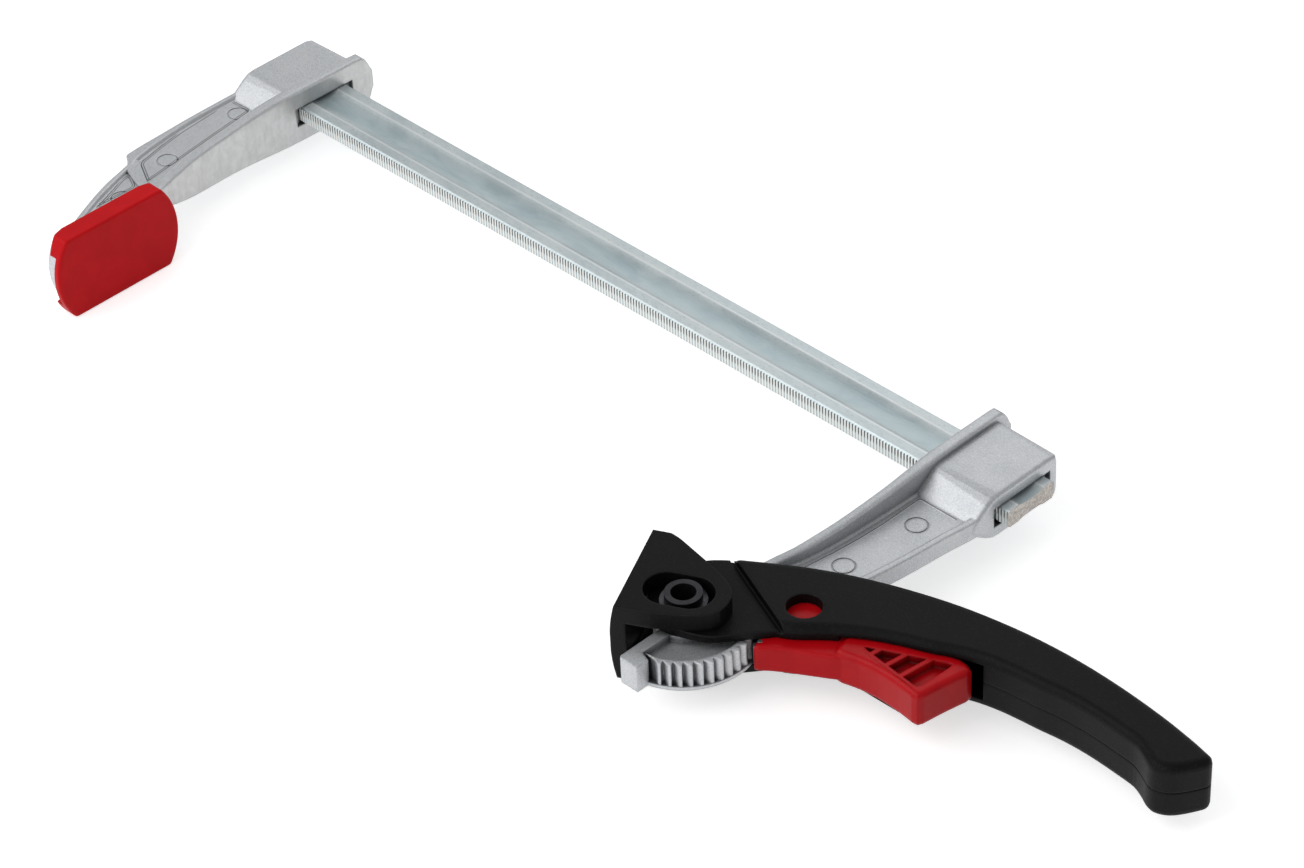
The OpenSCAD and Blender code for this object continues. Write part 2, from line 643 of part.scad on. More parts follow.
function teeth() = [for (a = [first_tooth : tooth_turn : last_tooth - tooth_turn])
    each [polar(tooth_r - tooth_d, a), polar(tooth_r - 0.35 * tooth_d, a + 0.40 * tooth_turn),
          polar(tooth_r, a + 0.62 * tooth_turn), polar(tooth_r, a + 0.86 * tooth_turn),
          polar(tooth_r - tooth_d, a + 0.97 * tooth_turn)]];

module sector() {
    inner = tooth_r - tooth_d - rim_t;
    side = 0.03 * stop_r;
    wall = -side + 0.5 * stop_w;
    prism(concat([for (a = [last_tooth + 2 : -4 : first_tooth - 10]) polar(inner, a)], teeth()), sector_h);
    prism(concat([[0, 0]], [for (a = [-88 : 4 : 40]) polar(inner + rim_t / 2, a)]), floor_h);
    layer(concat([for (a = [last_tooth + 2 : -4 : -86]) polar(0.97 * hub_r, a)],
                 [for (a = [-86 : 4 : last_tooth + 2]) polar(tooth_r + under_out, a)]),
          -sector_h, under_t - sector_h);
    prism([[-side, -stop_r + side], [-side / 4, -stop_r], [-side + stop_w, -stop_r],
           [-side + stop_w, -0.94 * tooth_r], [wall, -inner], [wall, -0.97 * hub_r],
           [-side, -0.97 * hub_r]], sector_h);
    rod(hub_r, hub_h);
}

module sliding_arm() {
    color("lightgray")
        difference() {
            union() {
                arm_body(slide_shares, pivot_x, 1, slide_face + 0.97 * flange_t);
                arm_block(slide_face + 0.1 * arm_w, slide_outer, slide_box_h);
                at_pivot()
                    sector();
            }
            rail_slot(slide_face - arm_w, slide_outer + arm_w, slide_gap, 0);
            rail_slot(slide_outer - mouth_len, slide_outer + arm_w, slide_gap, mouth_w);
            rail_slot(slide_face - arm_w, slide_face + mouth_len, slide_gap, mouth_w);
            translate([0, 0, -stop_pin_out - slide_gap])
                block(slide_outer - 3 * stop_pin_r - mouth_len - slide_gap, slide_outer + past,
                      rail_y - stop_pin_r - slide_gap, rail_y + stop_pin_r + slide_gap, rail_t / 2);
            for (s = [0, 1])
                translate([grip_x(s), grip_y(s), 0])
                    rod(grip_pin_r, grip_pin_h);
            at_pivot()
                rod(tube_r + run_gap / 2, arm_h);
            mark(pivot_x + 0.83 * arm_w, 0.692 * throat);
            mark(pivot_x + 0.70 * arm_w, 0.42 * throat);
        }
}

function grip_x(s) = s == 0 ? slide_face + mouth_len + 1.4 * grip_pin_r : slide_outer - mouth_len - 1.4 * grip_pin_r;
function grip_y(s) = rail_y + (s == 0 ? 1 : -1) * (rail_w / 2 + slide_gap + 0.9 * grip_pin_r);

module grip_pin(s) {
    color("dimgray")
        translate([grip_x(s), grip_y(s), 0])
            rod(grip_pin_r, grip_pin_h);
}

module grip_pin_inner() {
    grip_pin(0);
}

module grip_pin_outer() {
    grip_pin(1);
}

module pivot_rivet() {
    color("dimgray")
        at_pivot()
            difference() {
                union() {
                    rod(tube_r, tube_h);
                    for (s = [-1, 1])
                        translate([0, 0, s * (tube_h - tube_end_len / 2)])
                            rod(tube_end_r, tube_end_len / 2);
                }
                rod(tube_bore_r, 2 * tube_h);
            }
}

module thrust_washers() {
    color("gray")
        at_pivot()
            for (s = [-1, 1])
                translate([0, 0, s * (hub_h + washer_t / 2)])
                    difference() {
                        rod(washer_r, washer_t / 2);
                        rod(tube_r + run_gap / 2, washer_t);
                    }
}

// Lever

function lever_outline() =
    let (top = curve(lever_top_shares, 3), low = curve(lever_low_shares, 3))
    lever_len * concat([for (i = [len(low) - 1 : -1 : 0]) low[i]],
                       [for (k = [0 : 5]) [tip_shares[0], tip_shares[1]] + polar(tip_shares[2], 21.2 * k - 45.8)],
                       [for (i = [len(top) - 1 : -1 : 0]) top[i]], [corner_shares]);

function head_outline() = turned(soften([for (q = head_shares) q * lever_len], shell_t), -lever_rake);

// The area kept clear for arm and trigger between the cheeks
function clear_outline() =
    [for (q = [[-0.2, -0.2], [room_end, -0.2], [room_end, 0.11], [0.53, 0.165], [0.40, 0.178],
               [0.25, 0.172], [0.235, 0.25], [-0.2, 0.25]]) q * lever_len];

module screw_spots() {
    for (q = screw_shares)
        translate([q[0] * lever_len, q[1] * lever_len, 0])
            children();
}

// One lever shell, as the upper half
module shell() {
    p = lever_outline();
    difference() {
        union() {
            soft_plate(p, 0, grip_h, grip_soft, seam_v);
            layer(head_outline(), cheek_in, head_h);
        }
        // The lower land of the head, and the groove along its step
        rotate([0, 0, step_turn - lever_rake])
            translate([step_d - 3 * step_d, -2 * step_d, head_h])
                cube([3 * step_d, 4 * step_d, grip_h]);
        rotate([0, 0, step_turn - lever_rake])
            translate([step_d - step_w, -2 * step_d, head_h - step_groove])
                cube([step_w, 4 * step_d, grip_h]);
        // Room for the arm and the trigger
        layer(clear_outline(), -past, cheek_in);
        difference() {
            layer(lever_hollow(), -past, hollow_h);
            screw_spots()
                cylinder(r = post_r, h = 2 * grip_h, $fn = fine);
        }
        // Window and pivot bore
        translate([trig_u, trig_v, -past])
            cylinder(r = window_r, h = 2 * grip_h, $fn = fine);
        translate([0, 0, -past])
            cylinder(r = tube_r + run_gap, h = 2 * grip_h, $fn = fine);
        screw_spots()
            translate([0, 0, -past])
                cylinder(r = screw_r, h = past + 0.6 * grip_h, $fn = fine);
    }
}

// The hollow inside the shells: behind the trigger and along the grip
function lever_hollow() =
    let (top = [for (q = lever_top_shares) if (q[0] > 0.25 && q[0] < hollow_end + 0.01) q],
         low = [for (q = lever_low_shares) if (q[0] > room_end + 0.01 && q[0] < hollow_end) q])
    concat([for (q = curve(low, 2)) q * lever_len + [0, shell_t]],
           [[room_end, 0.10] * lever_len, [room_end, -0.1] * lever_len, [0.27, -0.1] * lever_len],
           [for (q = curve(top, 2)) q * lever_len - [0, shell_t]]);

module lever_shell_upper() {
    color("black")
        in_lever()
            shell();
}

module lever_shell_lower() {
    color("black")
        in_lever()
            difference() {
                mirror([0, 0, 1])
                    shell();
                screw_spots()
                    translate([0, 0, -2 * grip_h])
                        cylinder(r = screw_head_r + run_gap, h = grip_h + screw_sink, $fn = fine);
                screw_spots()
                    translate([0, 0, -2 * grip_h])
                        cylinder(r = screw_r + run_gap, h = 3 * grip_h, $fn = fine);
            }
}

module lever_screws() {
    color("gray")
        in_lever()
            screw_spots()
                difference() {
                    union() {
                        translate([0, 0, -grip_h + screw_sink - screw_head_t])
                            cylinder(r = screw_head_r, h = screw_head_t, $fn = fine);
                        translate([0, 0, -grip_h + screw_sink - screw_head_t / 2])
                            cylinder(r = screw_r, h = grip_h + 0.4 * grip_h, $fn = fine);
                    }
                    translate([0, 0, -grip_h + screw_sink - screw_head_t])
                        cylinder(r = 0.5 * screw_head_r, h = screw_head_t, center = true, $fn = 6);
                }
}

// Trigger and pawl

module at_pawl() {
    at_pivot()
        rotate([0, 0, pawl_turn])
            translate([tooth_r + pawl_gap, 0, 0])
                children();
}

module trigger() {
    pad = soften([for (q = trig_pad_shares) q * lever_len], 1.5 * pad_soft);
    arm = soften([for (q = trig_arm_shares) q * lever_len], 2 * trig_soft);
    pocket = soften([for (q = pocket_shares) q * lever_len], 2 * trig_soft);
    color("red")
        difference() {
            in_lever()
                difference() {
                    union() {
                        soft_slab(arm, trig_h, trig_soft);
                        soft_slab(pad, pad_h, pad_soft);
                        translate([trig_u, trig_v, 0])
                            rod(trig_hub_r, trig_h);
                        translate([trig_u, trig_v, 0])
                            rod(window_r - 1.6 * run_gap, journal_h);
                    }
                    for (s = [-1, 1])
                        translate([0, 0, s * pad_h])
                            difference() {
                                prism(pocket, pocket_d);
                                for (u = rib_shares)
                                    translate([u * lever_len, 0.03 * lever_len, -s * trig_soft])
                                        rotate([0, 0, rib_turn])
                                            cube([rib_w, lever_len / 3, 2 * pocket_d - trig_soft],
                                                 center = true);
                            }
                    translate([spring_u + run_gap * 8, spring_v + seat_depth, 0])
                        rotate([90, 0, 0])
                            cylinder(r = seat_r, h = 2 * seat_depth, $fn = fine);
                }
            at_pawl()
                block(-past, pawl_len + run_gap, -pawl_w / 2 - run_gap, pawl_w / 2 + run_gap,
                      pawl_h + run_gap);
            at_pawl()
                translate([0.6 * pawl_len, 0, 0])
                    rod(pawl_pin_r + run_gap / 2, 2 * trig_h);
        }
}

module pawl() {
    color("dimgray")
        at_pawl()
            difference() {
                prism([[0.25 * pawl_len, -pawl_w / 2], [pawl_len, -pawl_w / 2], [pawl_len, pawl_w / 2],
                       [0.35 * pawl_len, pawl_w / 2], [0, 0.1 * pawl_w], [0, -0.1 * pawl_w]], pawl_h);
                translate([0.6 * pawl_len, 0, 0])
                    rod(pawl_pin_r + run_gap / 2, 2 * trig_h);
            }
}

module pawl_pin() {
    color("silver")
        at_pawl()
            translate([0.6 * pawl_len, 0, 0])
                rod(pawl_pin_r, trig_h);
}

// A coil of round wire with straight ends square to its seats
module coil(r, w, turns, len) {
    ring = 6;
    per = 8;
    n = turns * per;
    lead = 2 * w;
    rise = (len - 2 * lead - 2 * w) / n;
    mid = [for (k = [0 : n]) let (a = 360 * k / per) [r * cos(a), r * sin(a), lead + w + rise * k]];
    pts = concat([[mid[0][0], mid[0][1], 0]], mid, [[mid[n][0], mid[n][1], len]]);
    rings = [for (i = [0 : len(pts) - 1])
        let (d0 = i == 0 || i == len(pts) - 1 ? [0, 0, 1] : pts[i + 1] - pts[i - 1],
             d = d0 / norm(d0),
             out = [pts[i][0], pts[i][1], 0] / r,
             o = (out - (out * d) * d) / norm(out - (out * d) * d),
             u = cross(d, o))
        [for (j = [0 : ring - 1]) pts[i] + w * (cos(360 * j / ring) * o + sin(360 * j / ring) * u)]];
    skin(rings);
}

echo(coil_gap = (spring_len - 6 * wire_r) / curls - 2 * wire_r);

module trigger_spring() {
    color("silver")
        in_lever()
            translate([spring_u, spring_low, 0])
                rotate([-90, 0, 0])
                    coil(coil_r, wire_r, curls, spring_len);
}

// Jaw

module slide_bush(s) {
    color("dimgray")
        at_pivot()
            translate([0, 0, s * (jaw_gap_h + bush_len / 2)])
                difference() {
                    rod(slot_w / 2 - run_gap, bush_len / 2);
                    rod(tube_r + run_gap, bush_len);
                }
}

module slide_bush_upper() {
    slide_bush(1);
}

module slide_bush_lower() {
    slide_bush(-1);
}

module jaw() {
    crown_r = (jaw_h * jaw_h + jaw_crown * jaw_crown) / (2 * jaw_crown);
    corners = [for (q = jaw_shares) [min(q[0] * jaw_h, jaw_front + jaw_crown), q[1] * jaw_h]];
    p = soften(corners, jaw_corners * jaw_soft);
    color("black")
        in_jaw()
            difference() {
                intersection() {
                    prism(p, jaw_h);
                    translate([jaw_front + jaw_crown - crown_r, 0, 0])
                        rotate([90, 0, 0])
                            cylinder(r = crown_r, h = 6 * jaw_h, center = true, $fn = 360);
                }
                block(-3 * jaw_front, jaw_inner, -3 * jaw_front, 3 * jaw_front, jaw_gap_h);
                for (s = [-1, 1])
                    translate([slot_shift, 0, s * jaw_h])
                        slot_shape();
            }
}

module slot_shape() {
    d = (slot_len - slot_w) / 2;
    block(-d, d, -slot_w / 2, slot_w / 2, jaw_h - past);
    for (s = [-1, 1])
        translate([s * d, 0, 0])
            rod(slot_w / 2, jaw_h - past);
}

rail();
rail_stop_pin();
fixed_arm();
rail_lock_pin();
pad_cap();
sliding_arm();
grip_pin_inner();
grip_pin_outer();
pivot_rivet();
thrust_washers();
lever_shell_upper();
lever_shell_lower();
lever_screws();
trigger();
pawl();
pawl_pin();
trigger_spring();
slide_bush_upper();
slide_bush_lower();
jaw();
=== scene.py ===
import math

import bpy
from mathutils import Matrix, Vector


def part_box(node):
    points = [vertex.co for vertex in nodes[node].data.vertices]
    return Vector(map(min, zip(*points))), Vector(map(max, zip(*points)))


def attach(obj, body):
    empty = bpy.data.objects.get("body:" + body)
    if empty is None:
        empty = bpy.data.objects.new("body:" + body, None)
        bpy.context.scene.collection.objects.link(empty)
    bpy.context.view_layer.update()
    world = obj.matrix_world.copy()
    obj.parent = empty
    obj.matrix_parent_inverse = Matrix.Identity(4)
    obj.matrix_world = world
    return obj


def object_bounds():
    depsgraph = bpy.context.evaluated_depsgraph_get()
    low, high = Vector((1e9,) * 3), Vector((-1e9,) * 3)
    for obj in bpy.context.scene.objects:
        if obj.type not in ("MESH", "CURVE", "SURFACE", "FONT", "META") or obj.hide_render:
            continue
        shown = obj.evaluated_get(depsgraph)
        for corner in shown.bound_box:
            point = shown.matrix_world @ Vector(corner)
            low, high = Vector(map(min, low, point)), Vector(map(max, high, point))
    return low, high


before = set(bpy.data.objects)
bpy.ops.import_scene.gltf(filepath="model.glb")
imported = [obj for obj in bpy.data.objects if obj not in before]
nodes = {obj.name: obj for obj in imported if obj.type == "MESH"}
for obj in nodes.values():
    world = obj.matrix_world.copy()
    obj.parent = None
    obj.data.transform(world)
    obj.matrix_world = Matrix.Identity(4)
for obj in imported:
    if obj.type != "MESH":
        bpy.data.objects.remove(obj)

cad_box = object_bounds()


# Camera, solved from the photograph: direction and roll in degrees, the point looked at and its distance in metres
AZIMUTH, ELEVATION, ROLL = 47.0146, 38.2853, -2.8004
TARGET = (0.190481, 0.049465, 0.0)
DISTANCE = 1.227163
SENSOR = 36
IMAGE_WIDTH = 1304
FOCAL_PIXELS = 4124.58

# Light: the floor's and the world's strength, then each lamp's name, direction, distance, size and power
FLOOR_GLOW = 0.58
WORLD_LIGHT = 0.46
LAMPS = [
    ("key", (-0.38, -0.60, 0.70), 1.5, (1.5, 1.1), 10.5),
    ("front", (0.25, -0.92, 0.30), 1.6, (0.9, 0.5), 2.4),
    ("over", (-0.30, 0.75, 0.60), 1.6, (1.3, 0.9), 3.5),
]
LIT_POINT = (0.19, 0.05, 0.0)
FLOOR_HALF = 6.0

# Edges sharper than these angles (degrees) stay crisp on the castings and mouldings, and on the panel lines
CRISP = 32
CRISP_LINE = 60
# Height of the webs' faces over the middle plane, and how far a panel line is sunk into them, in millimetres
WEB = 1.8
SUNK = 0.05


def set_camera():
    """The photograph's view."""
    az, el, roll = (math.radians(a) for a in (AZIMUTH, ELEVATION, ROLL))
    target = Vector(TARGET)
    back = Vector((math.sin(az) * math.cos(el), -math.cos(az) * math.cos(el), math.sin(el)))
    right = (-back).cross(Vector((0, 0, 1))).normalized()
    up = right.cross(-back)
    across = math.cos(roll) * right + math.sin(roll) * up
    upward = -math.sin(roll) * right + math.cos(roll) * up
    place = target + back * DISTANCE
    cam = bpy.data.cameras.new("photo_camera")
    cam.sensor_fit = "HORIZONTAL"
    cam.sensor_width = SENSOR
    cam.lens = SENSOR * FOCAL_PIXELS / IMAGE_WIDTH
    cam.clip_start = 0.05
    cam.clip_end = 20
    obj = bpy.data.objects.new("photo_camera", cam)
    obj.matrix_world = Matrix(((across.x, upward.x, back.x, place.x),
                               (across.y, upward.y, back.y, place.y),
                               (across.z, upward.z, back.z, place.z),
                               (0, 0, 0, 1)))
    bpy.context.scene.collection.objects.link(obj)
    bpy.context.scene.camera = obj


class Tree:
    """A material's nodes, made one after the other."""

    def __init__(self, name):
        self.mat = bpy.data.materials.new(name)
        self.mat.use_nodes = True
        self.t = self.mat.node_tree
        self.t.nodes.clear()
        self.out = self.add("ShaderNodeOutputMaterial")
        self.coord = self.add("ShaderNodeTexCoord").outputs["Object"]
        self.geo = self.add("ShaderNodeNewGeometry")

    def add(self, kind, **values):
        node = self.t.nodes.new(kind)
        for key, value in values.items():
            setattr(node, key, value)
        return node

    def put(self, socket, value):
        """Links a socket to another one, or sets it to a value."""
        if isinstance(value, bpy.types.NodeSocket):
            self.t.links.new(value, socket)
        elif isinstance(value, (tuple, list)) and len(value) == 3 and socket.type == "RGBA":
            socket.default_value = (*value, 1)
        else:
            socket.default_value = value

    def math(self, op, a, b=0.0):
        node = self.add("ShaderNodeMath", operation=op)
        self.put(node.inputs[0], a)
        self.put(node.inputs[1], b)
        return node.outputs[0]

    def scaled(self, factors):
        """The object's own coordinates, multiplied."""
        node = self.add("ShaderNodeVectorMath", operation="MULTIPLY")
        self.put(node.inputs[0], self.coord)
        node.inputs[1].default_value = factors
        return node.outputs[0]

    def noise(self, size, detail=3.0, rough=0.55, stretch=(1, 1, 1), distortion=0.0):
        """Noise from 0 to 1 with grains of about that size in metres."""
        node = self.add("ShaderNodeTexNoise")
        self.put(node.inputs["Vector"], self.scaled(tuple(1.0 / size * s for s in stretch)))
        node.inputs["Scale"].default_value = 1.0
        node.inputs["Detail"].default_value = detail
        node.inputs["Roughness"].default_value = rough
        node.inputs["Distortion"].default_value = distortion
        return node.outputs["Fac"]

    def cells(self, size, stretch=(1, 1, 1)):
        """A random grey for each cell of that size, and the distance from the cell's middle."""
        node = self.add("ShaderNodeTexVoronoi")
        self.put(node.inputs["Vector"], self.scaled(tuple(1.0 / size * s for s in stretch)))
        node.inputs["Scale"].default_value = 1.0
        sep = self.add("ShaderNodeSeparateColor")
        self.put(sep.inputs[0], node.outputs["Color"])
        return sep.outputs[0], node.outputs["Distance"]

    def span(self, value, low, high, to_low=0.0, to_high=1.0):
        """A smooth step from to_low to to_high while the value goes from low to high."""
        node = self.add("ShaderNodeMapRange", interpolation_type="SMOOTHSTEP")
        self.put(node.inputs["Value"], value)
        for key, v in (("From Min", low), ("From Max", high), ("To Min", to_low), ("To Max", to_high)):
            node.inputs[key].default_value = v
        return node.outputs["Result"]

    def mix(self, fac, a, b):
        """Colour a where fac is 0, b where it is 1."""
        node = self.add("ShaderNodeMix", data_type="RGBA")
        self.put(node.inputs[0], fac)
        self.put(node.inputs[6], a)
        self.put(node.inputs[7], b)
        return node.outputs[2]

    def axis(self, name, socket=None):
        """One coordinate of a point, or of the given vector."""
        node = self.add("ShaderNodeSeparateXYZ")
        self.put(node.inputs[0], socket or self.coord)
        return node.outputs[name]

    def rounded(self, radius):
        """The normal as if every edge had this radius."""
        node = self.add("ShaderNodeBevel", samples=6)
        node.inputs["Radius"].default_value = radius
        return node.outputs["Normal"]

    def edge(self, radius, low=0.03, high=0.25):
        """1 along outer and inner edges, 0 on open faces."""
        node = self.add("ShaderNodeVectorMath", operation="DOT_PRODUCT")
        self.put(node.inputs[0], self.rounded(radius))
        self.put(node.inputs[1], self.geo.outputs["Normal"])
        return self.span(self.math("SUBTRACT", 1.0, node.outputs["Value"]), low, high)

    def crevice(self, size, low=0.12, high=0.62, alone=False):
        """0 deep in a corner or a gap of about that size, 1 on open faces."""
        node = self.add("ShaderNodeAmbientOcclusion", samples=6, only_local=alone)
        node.inputs["Distance"].default_value = size
        return self.span(node.outputs["AO"], low, high)

    def relief(self, height, depth, normal):
        """A bump of that depth in metres, on top of a normal."""
        node = self.add("ShaderNodeBump")
        node.inputs["Strength"].default_value = 1.0
        node.inputs["Distance"].default_value = depth
        self.put(node.inputs["Height"], height)
        self.put(node.inputs["Normal"], normal)
        return node.outputs["Normal"]

    def shader(self, colour, rough, normal, metallic=0.0, coat=0.0, coat_rough=0.2, specular=0.5):
        """The finished material."""
        b = self.add("ShaderNodeBsdfPrincipled")
        self.put(b.inputs["Base Color"], colour)
        self.put(b.inputs["Roughness"], rough)
        b.inputs["Metallic"].default_value = metallic
        b.inputs["Specular IOR Level"].default_value = specular
        b.inputs["Coat Weight"].default_value = coat
        b.inputs["Coat Roughness"].default_value = coat_rough
        self.put(b.inputs["Normal"], normal)
        self.t.links.new(b.outputs[0], self.out.inputs["Surface"])
        return self.mat


def srgb(r, g, b):
    """Linear colour of an sRGB colour given from 0 to 255."""
    def one(c):
        c /= 255
        return c / 12.92 if c < 0.04045 else ((c + 0.055) / 1.055) ** 2.4
    return (one(r), one(g), one(b))


def silver_casting(name, dark_grain, light_grain, shaded, ground_face=False):
    """Satin silver coat on a fine-grained iron casting: speckle, soft clouds, worn edges, painted shade in corners
    and gaps.

    shaded is how dark the painted shade in the inner corners is, from 0 to 1.
    """
    m = Tree(name)
    grain = m.noise(0.00042, 4, 0.62)
    fleck, _ = m.cells(0.00026)
    cloud = m.noise(0.011, 3, 0.5)
    colour = m.mix(m.span(grain, 0.3, 0.72), srgb(*dark_grain), srgb(*light_grain))
    colour = m.mix(m.span(cloud, 0.35, 0.68, 0.0, 0.30), colour, srgb(216, 217, 218))
    colour = m.mix(m.span(fleck, 0.86, 0.97, 0.0, 0.40), colour, srgb(238, 239, 240))
    colour = m.mix(m.span(fleck, 0.12, 0.02, 0.0, 0.35), colour, srgb(140, 141, 144))
    wear = m.math("MULTIPLY", m.edge(0.0005), m.span(m.noise(0.004, 3), 0.35, 0.6))
    colour = m.mix(m.math("MULTIPLY", wear, 0.55), colour, srgb(226, 227, 228))
    rough = m.span(grain, 0.2, 0.8, 0.34, 0.48)
    height = m.math("ADD", m.math("MULTIPLY", grain, 0.6), m.math("MULTIPLY", m.noise(0.0016, 3), 0.6))
    if ground_face:
        # The block's face towards the opening is ground: streaks along its height and dull blotches
        streak = m.noise(0.0011, 4, 0.6, stretch=(1, 0.55, 0.16))
        blotch = m.noise(0.0036, 4, 0.62, distortion=0.6)
        ground = m.mix(m.span(blotch, 0.3, 0.7), srgb(194, 194, 194), srgb(208, 208, 208))
        ground = m.mix(m.span(streak, 0.42, 0.66, 0.0, 0.4), ground, srgb(178, 177, 175))
        face = m.math("MULTIPLY", m.span(m.axis("X", m.geo.outputs["Normal"]), 0.86, 0.96), 0.85)
        colour = m.mix(face, colour, ground)
        rough = m.math("SUBTRACT", rough, m.math("MULTIPLY", face, 0.08))
        height = m.math("ADD", height, m.math("MULTIPLY", m.math("MULTIPLY", face, streak), 0.9))
    # Painted shade: near-black grey deep in corners and narrow gaps, also between parts
    colour = m.mix(m.crevice(0.0032, 0.16, 0.66 + 0.3 * shaded), srgb(34, 34, 37), colour)
    # Painted shade: a broader grey darkening of the inner corners and the flange walls, set by shaded
    corner = m.span(m.crevice(0.014, 0.30, 0.80, alone=True), 0, 1, 1 - shaded, 1)
    colour = m.mix(corner, srgb(70, 70, 74), colour)
    normal = m.relief(height, 0.00006, m.rounded(0.0009))
    return m.shader(colour, rough, normal, metallic=0.62, specular=0.5)


def zinc_plate():
    """Passivated zinc: cool mottled spangle, bright worn edges, bare cut ends; painted shade in the rolled groove
    and the serrations, painted highlights along the groove's edges and the serration crests.
    """
    m = Tree("zinc_plate")
    (x0, y0, _), (x1, y1, _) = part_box("rail")
    x, y, z = m.axis("X"), m.axis("Y"), m.math("ABSOLUTE", m.axis("Z"))
    normal = m.geo.outputs["Normal"]
    spangle, near = m.cells(0.0013, stretch=(0.7, 1, 1))
    cloud = m.noise(0.010, 4, 0.6, stretch=(0.4, 1, 1), distortion=0.6)
    fine = m.noise(0.00055, 3, 0.65, stretch=(0.5, 1, 1))
    colour = m.mix(m.span(cloud, 0.32, 0.7), srgb(188, 199, 202), srgb(207, 215, 216))
    colour = m.mix(m.math("MULTIPLY", spangle, 0.20), colour, srgb(226, 230, 230))
    colour = m.mix(m.span(fine, 0.54, 0.72, 0.0, 0.50), colour, srgb(152, 164, 170))
    # Painted shade: the rolled groove in each side is coloured darker, and painted highlights run along its two
    # edges
    deep = m.span(z, 0.0022, 0.0030, 1.0, 0.0)
    on_side = m.span(m.math("ABSOLUTE", m.axis("Z", normal)), 0.35, 0.6)
    groove = m.math("MULTIPLY", deep, on_side)
    dull = m.mix(m.span(cloud, 0.38, 0.62), srgb(163, 181, 186), srgb(183, 198, 202))
    colour = m.mix(m.math("MULTIPLY", groove, 0.85), colour, dull)
    off = m.math("ABSOLUTE", m.math("SUBTRACT", y, (y0 + y1) / 2))
    # Painted highlight: a pale band along each edge of the groove
    lip_highlight = m.math("MULTIPLY", m.span(off, 0.0049, 0.0055), m.span(off, 0.0062, 0.0057))
    colour = m.mix(m.math("MULTIPLY", lip_highlight, 0.65), colour, srgb(236, 240, 240))
    # Painted shade in the bottoms of the serrations, fading towards the lower half of the edge, and a painted
    # highlight along their crests
    under_crest = m.span(y, y0 + 0.00006, y0 + 0.00026)
    serration_shade = m.math("MULTIPLY", under_crest, m.span(y, y0 + 0.0011, y0 + 0.0008))
    serration_shade = m.math("MULTIPLY", serration_shade, m.span(m.math("ABSOLUTE", m.axis("Y", normal)), 0.3, 0.5))
    serration_shade = m.math("MULTIPLY", serration_shade, m.span(m.math("ABSOLUTE", m.axis("Z", normal)), 0.25, 0.08))
    serration_shade = m.math("MULTIPLY", serration_shade, m.span(m.axis("Z"), -0.0006, 0.0006, 0.12, 1.0))
    # Painted highlight: a near-white strip along the serration crests
    colour = m.mix(m.span(y, y0 + 0.00012, y0 + 0.00002), colour, srgb(244, 245, 241))
    # Painted shade in the serration bottoms
    colour = m.mix(m.math("MULTIPLY", serration_shade, 0.95), colour, srgb(40, 44, 46))
    colour = m.mix(m.math("MULTIPLY", m.edge(0.0005), 0.5), colour, srgb(240, 243, 242))
    cut = m.math("MULTIPLY", m.span(x, x1 - 0.0012, x1 - 0.0002), m.span(m.axis("X", normal), 0.5, 0.8))
    bare = m.mix(m.span(m.noise(0.0008, 4, 0.7), 0.3, 0.7), srgb(150, 142, 134), srgb(206, 200, 194))
    colour = m.mix(cut, colour, bare)
    rough = m.span(cloud, 0.2, 0.8, 0.30, 0.46)
    height = m.math("ADD", m.math("MULTIPLY", near, 0.5), m.math("MULTIPLY", fine, 0.5))
    return m.shader(colour, rough, m.relief(height, 0.00004, m.rounded(0.00025)), metallic=0.6)


def bare_steel(name, tone, stretch=(1, 1, 1)):
    """Turned or drawn steel with fine lines and a few dull spots."""
    m = Tree(name)
    line = m.noise(0.0003, 3, 0.6, stretch=stretch)
    spot = m.noise(0.002, 3, 0.6)
    colour = m.mix(m.span(line, 0.35, 0.65), tuple(c * 0.82 for c in tone), tone)
    colour = m.mix(m.span(spot, 0.58, 0.72, 0.0, 0.45), colour, tuple(c * 0.6 for c in tone))
    colour = m.mix(m.math("MULTIPLY", m.edge(0.0003), 0.5), colour, tuple(min(1, c * 1.5) for c in tone))
    rough = m.span(spot, 0.3, 0.7, 0.30, 0.46)
    normal = m.relief(line, 0.00002, m.rounded(0.0002))
    return m.shader(colour, rough, normal, metallic=0.9)


def red_plastic(name, gloss, deep):
    """Red moulded plastic: faint orange peel, flow marks, painted highlights along the edges and painted shade in
    the corners.

    gloss goes from 0 to 1, and deep makes the red that much darker, as painted shade.
    """
    m = Tree(name)
    fine = m.noise(0.0007, 3, 0.5)
    flow = m.noise(0.012, 3, 0.5, distortion=0.8)
    colour = m.mix(m.span(flow, 0.3, 0.7), srgb(193 - deep, 5, 15), srgb(202 - deep, 8, 19))
    colour = m.mix(m.span(fine, 0.64, 0.8, 0.0, 0.22), colour, srgb(164, 6, 15))
    # Painted highlight: paler red along the edges
    colour = m.mix(m.math("MULTIPLY", m.edge(0.0005), 0.22), colour, srgb(232, 52, 54))
    # Painted shade: darker red in corners and narrow gaps
    colour = m.mix(m.crevice(0.005, 0.25, 0.85, alone=True), srgb(96, 1, 6), colour)
    rough = m.span(fine, 0.2, 0.8, 0.42 - 0.14 * gloss, 0.52 - 0.14 * gloss)
    height = m.math("ADD", m.math("MULTIPLY", fine, 0.5), m.math("MULTIPLY", flow, 0.3))
    normal = m.relief(height, 0.00003, m.rounded(0.0004 + 0.0007 * gloss))
    return m.shader(colour, rough, normal, coat=0.04 * gloss, coat_rough=0.15, specular=0.14)


